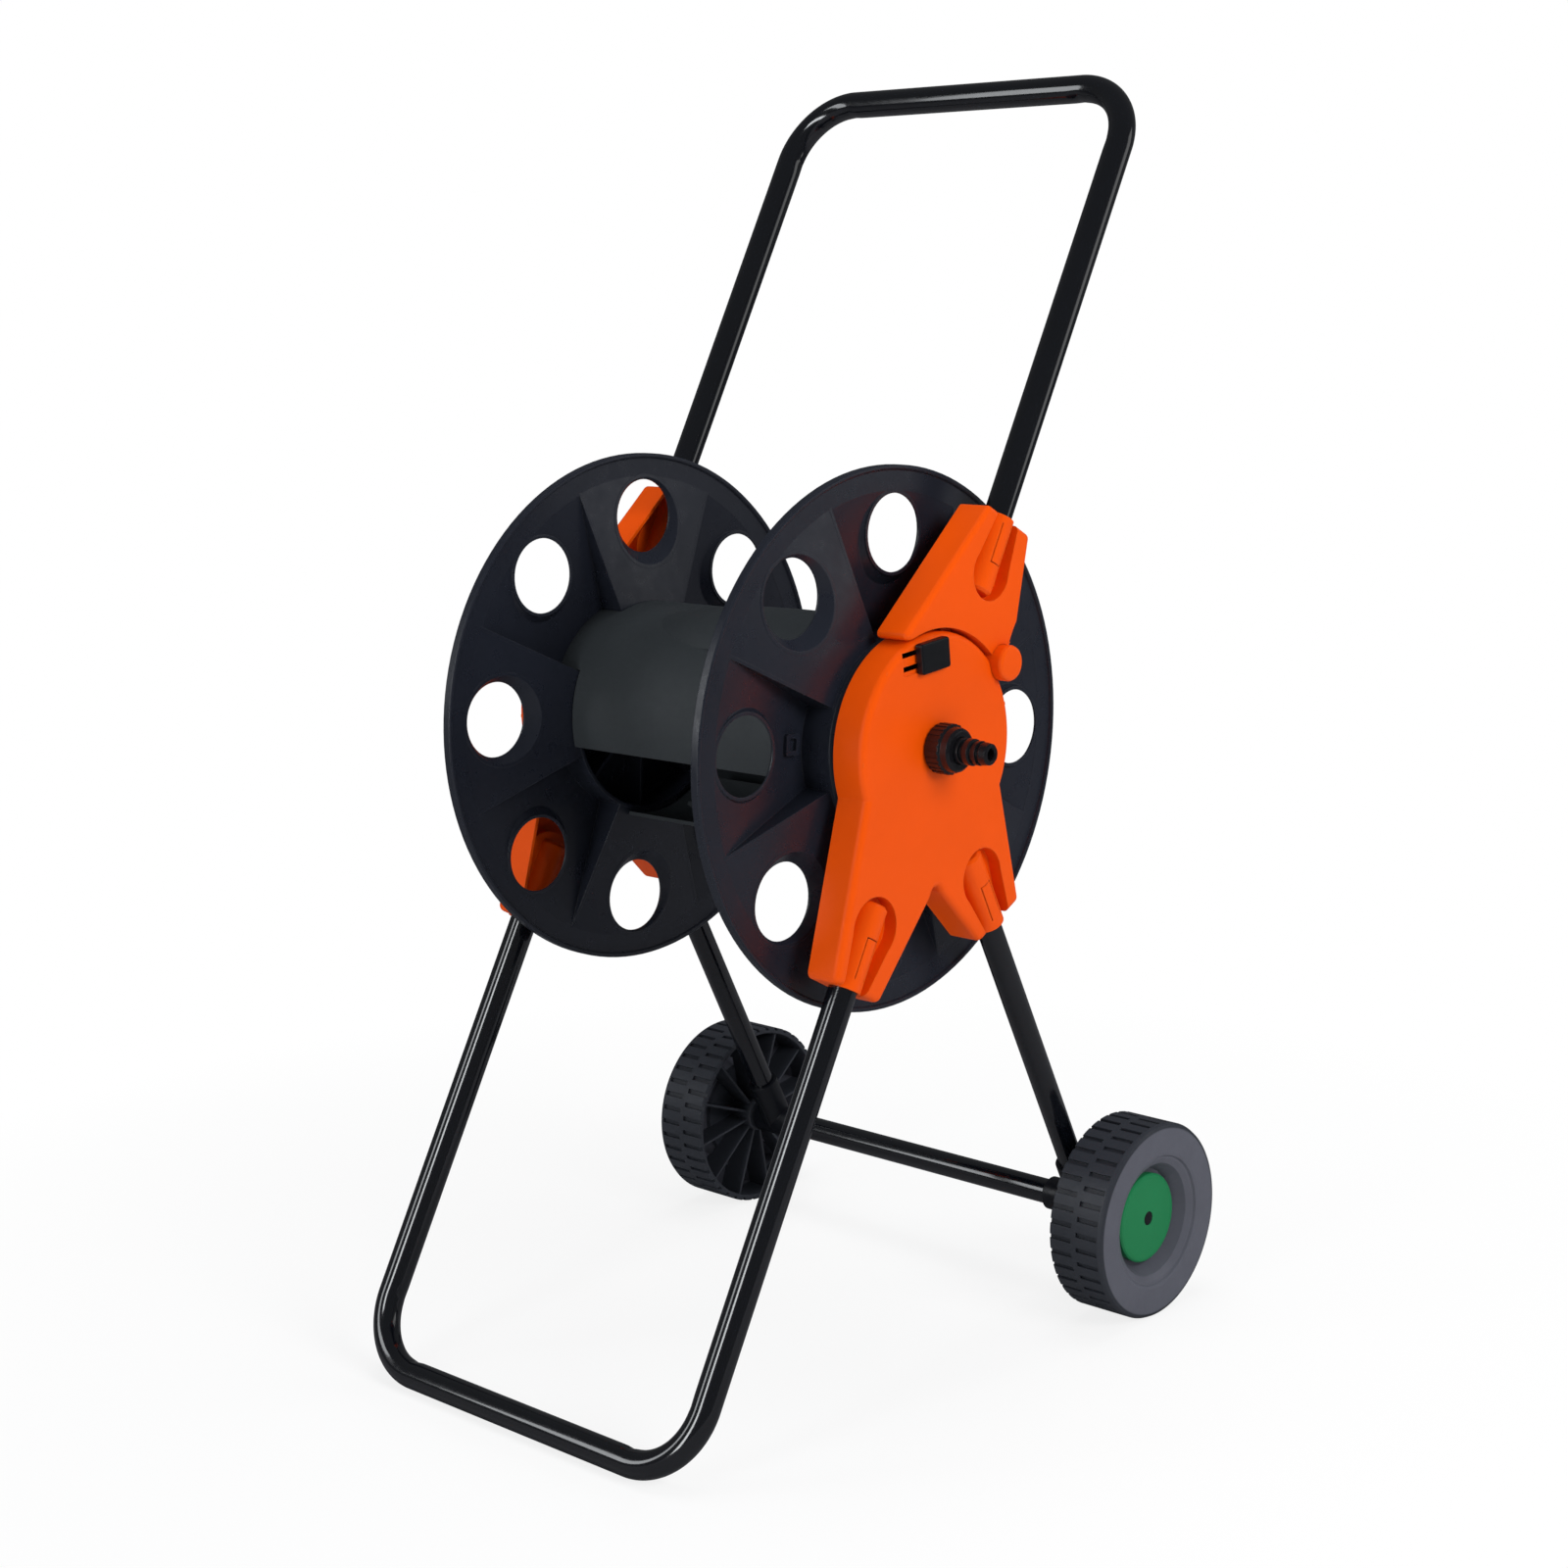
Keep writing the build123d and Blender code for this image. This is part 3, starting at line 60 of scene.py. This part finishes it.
def finish(name, colour, rough, rough_range=0.08, grain=900.0, grain_depth=0.03, broad=22.0,
           tint=0.12, edge_wear_and_highlight=0.25, edge_wear_and_highlight_colour=None, metallic=0.0, coat=0.0, specular=0.5,
           edge_radius=0.0006, painted_shade_band=None, wave_depth=0.4):
    """A moulded, painted or plated surface: colour drift, uneven gloss, grain, and edges painted
    lighter, partly as wear and partly as a painted highlight.

    Depths are in millimetres, and grain and broad are noise scales per metre. A painted shade band
    gives the axle, a radius, a distance from the middle and the painted shade of the parts past
    either of them.
    """
    material = bpy.data.materials.new(name)
    material.use_nodes = True
    tree = material.node_tree
    tree.nodes.clear()

    def node(kind, operation=None, **values):
        made = tree.nodes.new(kind)
        if operation:
            made.operation = operation
        for key, value in values.items():
            made.inputs[key.replace("_", " ")].default_value = value
        return made

    def mix_colours():
        made = tree.nodes.new("ShaderNodeMix")
        made.data_type = "RGBA"
        return made

    def link(a, output, b, entry):
        tree.links.new(a.outputs[output], b.inputs[entry])

    out = node("ShaderNodeOutputMaterial")
    shader = node(
        "ShaderNodeBsdfPrincipled", Metallic=metallic, Coat_Weight=coat, Coat_Roughness=0.05,
        Coat_IOR=1.8, Specular_IOR_Level=specular,
    )
    link(shader, "BSDF", out, "Surface")
    place = node("ShaderNodeTexCoord")

    drift = node("ShaderNodeTexNoise", Scale=broad, Detail=4.0, Roughness=0.6)
    fine = node("ShaderNodeTexNoise", Scale=grain, Detail=3.0, Roughness=0.55)
    smear = node("ShaderNodeTexNoise", Scale=broad * 4.5, Detail=6.0, Roughness=0.7)
    for texture in (drift, fine, smear):
        link(place, "Object", texture, "Vector")

    # colour: a slow drift between two close shades
    shades = mix_colours()
    dark = [c * (1.0 - tint) for c in colour]
    light = [min(1.0, c * (1.0 + tint)) for c in colour]
    shades.inputs["A"].default_value = (*dark, 1.0)
    shades.inputs["B"].default_value = (*light, 1.0)
    link(drift, "Fac", shades, "Factor")

    # edges painted lighter, partly as wear and partly as a painted highlight: found where a
    # softened normal leaves the true one
    shape = node("ShaderNodeNewGeometry")
    soft = node("ShaderNodeBevel", Radius=edge_radius)
    soft.samples = EDGE_SAMPLES
    apart = node("ShaderNodeVectorMath", "DOT_PRODUCT")
    link(soft, "Normal", apart, 0)
    link(shape, "Normal", apart, 1)
    edge = node("ShaderNodeMapRange", From_Min=0.995, From_Max=0.90, To_Max=edge_wear_and_highlight)
    link(apart, "Value", edge, "Value")
    worn_and_lit = node("ShaderNodeMath", "MULTIPLY")
    link(edge, "Result", worn_and_lit, 0)
    link(smear, "Fac", worn_and_lit, 1)
    edged = mix_colours()
    bright = edge_wear_and_highlight_colour or [min(1.0, c * 1.6 + 0.02) for c in colour]
    edged.inputs["B"].default_value = (*bright, 1.0)
    link(shades, "Result", edged, "A")
    link(worn_and_lit, "Value", edged, "Factor")
    last = edged
    if painted_shade_band:
        # painted shade: a darker colour past a radius from the axle, on the tread, and on the side
        # towards the frame, where the wheel's inside sits in shade
        centre, radius, inboard, shade = painted_shade_band
        split = node("ShaderNodeSeparateXYZ")
        link(place, "Object", split, "Vector")
        join = node("ShaderNodeCombineXYZ")
        link(split, "Y", join, "Y")
        link(split, "Z", join, "Z")
        away = node("ShaderNodeVectorMath", "DISTANCE")
        link(join, "Vector", away, 0)
        away.inputs[1].default_value = (0.0, *centre)
        rim = node("ShaderNodeMapRange", From_Min=radius - 1.2 * MILLIMETRE, From_Max=radius)
        link(away, "Value", rim, "Value")
        width = node("ShaderNodeMath", "ABSOLUTE")
        link(split, "X", width, 0)
        inner = node("ShaderNodeMapRange", From_Min=inboard, From_Max=inboard - 0.6 * MILLIMETRE)
        link(width, "Value", inner, "Value")
        painted_shade_mask = node("ShaderNodeMath", "MAXIMUM")
        link(rim, "Result", painted_shade_mask, 0)
        link(inner, "Result", painted_shade_mask, 1)
        last = mix_colours()
        last.inputs["B"].default_value = (*shade, 1.0)
        link(edged, "Result", last, "A")
        link(painted_shade_mask, "Value", last, "Factor")
    link(last, "Result", shader, "Base Color")

    # gloss: uneven, a little rougher in places
    gloss = node(
        "ShaderNodeMapRange", From_Min=0.3, From_Max=0.7,
        To_Min=max(0.02, rough - rough_range), To_Max=min(1.0, rough + rough_range),
    )
    link(smear, "Fac", gloss, "Value")
    link(gloss, "Result", shader, "Roughness")

    # relief: softened edges, fine grain, and a faint waviness
    bump = node("ShaderNodeBump", Strength=1.0, Distance=grain_depth * MILLIMETRE)
    link(fine, "Fac", bump, "Height")
    link(soft, "Normal", bump, "Normal")
    wave = node("ShaderNodeBump", Strength=0.6, Distance=wave_depth * MILLIMETRE)
    link(drift, "Fac", wave, "Height")
    link(bump, "Normal", wave, "Normal")
    link(wave, "Normal", shader, "Normal")
    return material


# the lighter edge colours below are partly wear and partly a painted highlight; the tyre's band is
# painted shade
MATERIALS = {
    "tube_paint": finish("gloss_black_paint", (0.0020, 0.0025, 0.0042), 0.13, 0.03, 500, 0.002, 30,
                         0.2, 0.12, (0.02, 0.02, 0.022), specular=0.8, coat=0.4, wave_depth=0.02),
    "orange_plastic": finish("orange_moulding", (0.78, 0.078, 0.0012), 0.45, 0.07, 1400, 0.016, 16,
                             0.06, 0.5, (1.0, 0.22, 0.035), specular=0.12, edge_radius=0.0010),
    "bracket_plastic": finish("bracket_black", (0.0045, 0.0052, 0.0075), 0.34, 0.07, 1300, 0.02,
                              specular=0.4),
    "zinc_steel": finish("zinc_plate", (0.55, 0.56, 0.58), 0.34, 0.10, 700, 0.012, metallic=1.0),
    "black_plastic": finish("black_moulding", (0.0045, 0.005, 0.0065), 0.34, 0.07, 1300, 0.02,
                            specular=0.4),
    "flange_plastic": finish("flange_charcoal", (0.0120, 0.0140, 0.0215), 0.31, 0.07, 1500, 0.022,
                             18, 0.15, 0.7, (0.040, 0.043, 0.052), specular=0.5,
                             edge_radius=0.0008),
    "drum_plastic": finish("drum_charcoal", (0.027, 0.0315, 0.035), 0.60, 0.07, 1200, 0.06, 18,
                           0.15, 0.5, (0.045, 0.05, 0.055), specular=0.35),
    "fitting_plastic": finish("fitting_black", (0.006, 0.006, 0.0075), 0.24, 0.06, 1000, 0.010,
                              specular=0.5),
    "bush_plastic": finish("nylon_bush", (0.42, 0.42, 0.38), 0.45, 0.06, 900, 0.02),
    "seal_rubber": finish("seal_rubber", (0.012, 0.012, 0.012), 0.6, 0.08, 1500, 0.03),
    "tyre_plastic": finish("tyre_grey", (0.092, 0.095, 0.118), 0.42, 0.08, 1100, 0.06, 26, 0.18,
                           0.5, (0.13, 0.134, 0.150), specular=0.4, wave_depth=0.6,
                           painted_shade_band=(AXLE, TREAD_R, WEB_X, (0.026, 0.029, 0.037))),
    "green_plastic": finish("green_cap", (0.013, 0.185, 0.066), 0.42, 0.06, 1200, 0.014, 20, 0.06,
                            0.25, (0.03, 0.30, 0.13), specular=0.2),
}

slot_of = {part["node"]: part["material_slot"] for part in frame["record"]["subparts"]}
for name, piece in nodes.items():
    mesh = piece.data
    mesh.materials.clear()
    mesh.materials.append(MATERIALS[slot_of[name]])
    mesh.shade_smooth()
    mesh.set_sharp_from_angle(angle=SHARP)

# ---- bent steel loops ------------------------------------------------------------------------
TUBE_R = 0.0095
HALF_WIDTH = 0.150
BEND_R = 0.046
START = 0.113  # the tube's end, along the loop's line
LENGTH = 0.421 / math.sin(LEAN)
SHOULDER = LENGTH - BEND_R  # the side tube ends and its bend starts
INNER = HALF_WIDTH - BEND_R  # the bend ends and the bar starts
RING = 48  # points round the tube
SIDE_STEPS, BEND_STEPS, BAR_STEPS = 90, 36, 70
FLATTENED = 0.05  # how much the middle of a bend is flattened
DENT = 0.0007
DENT_REACH = 0.0035
BORE = 0.89  # inner radius over outer radius
BORE_DEPTH = 0.012


def loop_path():
    """Centre line of a U of tube: point, way along it, and how far round a bend it is."""
    spots = []

    def straight(a, b, count):
        for i in range(count):
            spots.append((a.lerp(b, i / count), (b - a).normalized(), None))

    def bend(centre, first, count):
        for i in range(count):
            angle = first - i / count * math.pi / 2
            spoke = Vector((math.cos(angle), math.sin(angle)))
            spots.append((centre + spoke * BEND_R, Vector((spoke.y, -spoke.x)), i / count))

    straight(Vector((-HALF_WIDTH, START)), Vector((-HALF_WIDTH, SHOULDER)), SIDE_STEPS)
    bend(Vector((-INNER, SHOULDER)), math.pi, BEND_STEPS)
    straight(Vector((-INNER, LENGTH)), Vector((INNER, LENGTH)), BAR_STEPS)
    bend(Vector((INNER, SHOULDER)), math.pi / 2, BEND_STEPS)
    straight(Vector((HALF_WIDTH, SHOULDER)), Vector((HALF_WIDTH, START)), SIDE_STEPS)
    spots.append((Vector((HALF_WIDTH, START)), Vector((0.0, -1.0)), None))
    return spots


def tube_loop(name, sign):
    """A loop of tube, drawn a little oval by its bends, with a crease where each one starts."""
    c, s = math.cos(LEAN) * sign, math.sin(LEAN) * sign
    face = Vector((0.0, -s, c))
    creases = [
        Vector((side * x, y))
        for side in (-1, 1)
        for x, y in ((HALF_WIDTH, SHOULDER), (INNER, LENGTH))
    ]
    maker = bmesh.new()
    rings = []
    for spot, way, turned in loop_path():
        inward = Vector((way.y, -way.x))
        inside = Vector((inward.x, inward.y * c, inward.y * s))
        centre = Vector((spot.x, spot.y * c, REEL_Z + spot.y * s))
        oval = 0.0 if turned is None else math.sin(math.pi * turned)
        pinch = sum(math.exp(-(((spot - fold).length / DENT_REACH) ** 2)) for fold in creases)
        ring = []
        for k in range(RING):
            angle = 2 * math.pi * k / RING
            u = math.cos(angle)
            v = math.sin(angle)
            dent = DENT * pinch * max(0.0, u) ** 2
            across = u * (TUBE_R * (1.0 - FLATTENED * oval) - dent)
            ring.append(maker.verts.new(centre + inside * across + face * (v * TUBE_R)))
        rings.append(ring)
    for one, two in zip(rings, rings[1:]):
        for k in range(RING):
            n = (k + 1) % RING
            maker.faces.new((one[k], one[n], two[n], two[k]))
    # open ends, with a wall turned inwards
    inwards = Vector((0.0, c, s)) * BORE_DEPTH
    for ring in (rings[0], rings[-1]):
        middle = sum((v.co for v in ring), Vector()) / RING
        lip = [maker.verts.new(middle + (v.co - middle) * BORE) for v in ring]
        deep = [maker.verts.new(v.co + inwards) for v in lip]
        for k in range(RING):
            n = (k + 1) % RING
            maker.faces.new((ring[k], ring[n], lip[n], lip[k]))
            maker.faces.new((lip[k], lip[n], deep[n], deep[k]))
        maker.faces.new(deep)
    bmesh.ops.recalc_face_normals(maker, faces=maker.faces)
    mesh = bpy.data.meshes.new(name)
    maker.to_mesh(mesh)
    maker.free()
    mesh.materials.append(MATERIALS["tube_paint"])
    mesh.shade_smooth()
    mesh.set_sharp_from_angle(angle=math.radians(50))
    made = bpy.data.objects.new(name, mesh)
    bpy.context.scene.collection.objects.link(made)
    return made


for loop, tube, body, sign in (
    ("handle_loop", "handle_tube", "handle", 1),
    ("foot_loop", "foot_tube", "frame", -1),
):
    piece = tube_loop(loop, sign)
    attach(piece, body)
    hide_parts(tube)

# ---- studio -------------------------------------------------------------------------------
scene = bpy.context.scene
scene.view_settings.view_transform = "Standard"
scene.view_settings.look = "None"

ROOM_FILL = 0.24  # brightness of the room in the shadows
ROOM_MIRRORED = 0.08  # and in reflections
PAPER = (0.90, 0.90, 0.90, 1.0)
PAPER_MIRRORED = (0.16, 0.16, 0.17, 1.0)
FLOOR_SIZE = 6.0


def studio_world():
    """White behind the object; a dimmer room lights it, and is dimmer still in reflections."""
    world = bpy.data.worlds.new("studio")
    scene.world = world
    world.use_nodes = True
    tree = world.node_tree
    ray = tree.nodes.new("ShaderNodeLightPath")
    room = tree.nodes["Background"]
    room.inputs["Color"].default_value = (0.94, 0.97, 1.0, 1.0)
    level = tree.nodes.new("ShaderNodeMapRange")
    level.inputs["To Min"].default_value = ROOM_FILL
    level.inputs["To Max"].default_value = ROOM_MIRRORED
    tree.links.new(ray.outputs["Is Glossy Ray"], level.inputs["Value"])
    tree.links.new(level.outputs["Result"], room.inputs["Strength"])
    backdrop = tree.nodes.new("ShaderNodeBackground")
    backdrop.inputs["Color"].default_value = (1.0, 1.0, 1.0, 1.0)
    backdrop.inputs["Strength"].default_value = 1.0
    seen = tree.nodes.new("ShaderNodeMixShader")
    tree.links.new(ray.outputs["Is Camera Ray"], seen.inputs[0])
    tree.links.new(room.outputs[0], seen.inputs[1])
    tree.links.new(backdrop.outputs[0], seen.inputs[2])
    tree.links.new(seen.outputs[0], tree.nodes["World Output"].inputs["Surface"])


def paper_material():
    """Matt pale paper that fades into the white behind it with distance from the object."""
    paper = bpy.data.materials.new("paper")
    paper.use_nodes = True
    tree = paper.node_tree
    matt = tree.nodes["Principled BSDF"]
    matt.inputs["Roughness"].default_value = 0.95
    matt.inputs["Specular IOR Level"].default_value = 0.0
    shade = tree.nodes.new("ShaderNodeMix")
    shade.data_type = "RGBA"
    shade.inputs["A"].default_value = PAPER
    shade.inputs["B"].default_value = PAPER_MIRRORED
    glow = tree.nodes.new("ShaderNodeEmission")
    glow.inputs["Strength"].default_value = 1.0
    ray = tree.nodes.new("ShaderNodeLightPath")
    tree.links.new(ray.outputs["Is Glossy Ray"], shade.inputs["Factor"])
    tree.links.new(shade.outputs["Result"], matt.inputs["Base Color"])
    place = tree.nodes.new("ShaderNodeNewGeometry")
    reach = tree.nodes.new("ShaderNodeVectorMath")
    reach.operation = "LENGTH"
    tree.links.new(place.outputs["Position"], reach.inputs[0])
    fade = tree.nodes.new("ShaderNodeMapRange")
    fade.inputs["From Min"].default_value = 0.30
    fade.inputs["From Max"].default_value = 0.85
    fade.inputs["To Min"].default_value = 0.82
    tree.links.new(reach.outputs["Value"], fade.inputs["Value"])
    share = tree.nodes.new("ShaderNodeMath")
    share.operation = "MULTIPLY"
    tree.links.new(ray.outputs["Is Camera Ray"], share.inputs[0])
    tree.links.new(fade.outputs["Result"], share.inputs[1])
    blend = tree.nodes.new("ShaderNodeMixShader")
    tree.links.new(share.outputs[0], blend.inputs[0])
    tree.links.new(matt.outputs[0], blend.inputs[1])
    tree.links.new(glow.outputs[0], blend.inputs[2])
    tree.links.new(blend.outputs[0], tree.nodes["Material Output"].inputs["Surface"])
    return paper


def pale_floor():
    mesh = bpy.data.meshes.new("floor")
    maker = bmesh.new()
    bmesh.ops.create_grid(maker, x_segments=1, y_segments=1, size=FLOOR_SIZE)
    maker.to_mesh(mesh)
    maker.free()
    mesh.materials.append(paper_material())
    floor = bpy.data.objects.new("floor", mesh)
    scene.collection.objects.link(floor)
    return floor


def panel(name, place, target, width, height, power, colour=(1.0, 1.0, 1.0), mirrored=True):
    """A soft box aimed at a point; one that isn't mirrored only fills."""
    light = bpy.data.lights.new(name, "AREA")
    light.shape = "RECTANGLE"
    light.size = width
    light.size_y = height
    light.energy = power
    light.color = colour
    lamp = bpy.data.objects.new(name, light)
    lamp.location = place
    lamp.rotation_euler = (Vector(target) - Vector(place)).to_track_quat("-Z", "Y").to_euler()
    lamp.visible_glossy = mirrored
    scene.collection.objects.link(lamp)


panel("key", (2.1, -0.15, 1.45), (0, 0, 0.42), 1.0, 1.0, 33, mirrored=False)
panel("front", (0.06, -2.3, 0.9), (0, 0, 0.45), 0.5, 1.8, 18, (0.95, 0.98, 1.0))
panel("left", (-1.3, -1.7, 1.1), (0, 0, 0.45), 0.5, 1.3, 6, (0.94, 0.97, 1.0))
panel("top", (-0.1, 0.3, 2.4), (0, 0, 0.4), 1.3, 1.1, 17, mirrored=False)
panel("sheen", (1.6, 1.5, 1.0), (0, 0, 0.4), 0.8, 1.2, 2.2)
panel("back", (0.3, 2.0, 1.3), (0, 0, 0.4), 1.4, 1.0, 10, mirrored=False)

studio_world()
pale_floor()

# ---- camera -------------------------------------------------------------------------------
CAMERA = (1.2265, -1.3024, 0.7476)
AZIMUTH, ELEVATION, ROLL = math.radians(42.62), math.radians(11.36), math.radians(-1.46)
back = Vector((
    math.sin(AZIMUTH) * math.cos(ELEVATION),
    -math.cos(AZIMUTH) * math.cos(ELEVATION),
    math.sin(ELEVATION),
))
level = Vector((math.cos(AZIMUTH), math.sin(AZIMUTH), 0.0))
upright = back.cross(level)
right = level * math.cos(ROLL) + upright * math.sin(ROLL)
up = upright * math.cos(ROLL) - level * math.sin(ROLL)
camera_data = bpy.data.cameras.new("camera")
camera_data.lens = 61.02
camera_data.sensor_width = 36.0
camera_data.clip_end = 50.0
camera = bpy.data.objects.new("camera", camera_data)
turn = Matrix((right, up, back)).transposed().to_4x4()
camera.matrix_world = Matrix.Translation(CAMERA) @ turn
scene.collection.objects.link(camera)
scene.camera = camera
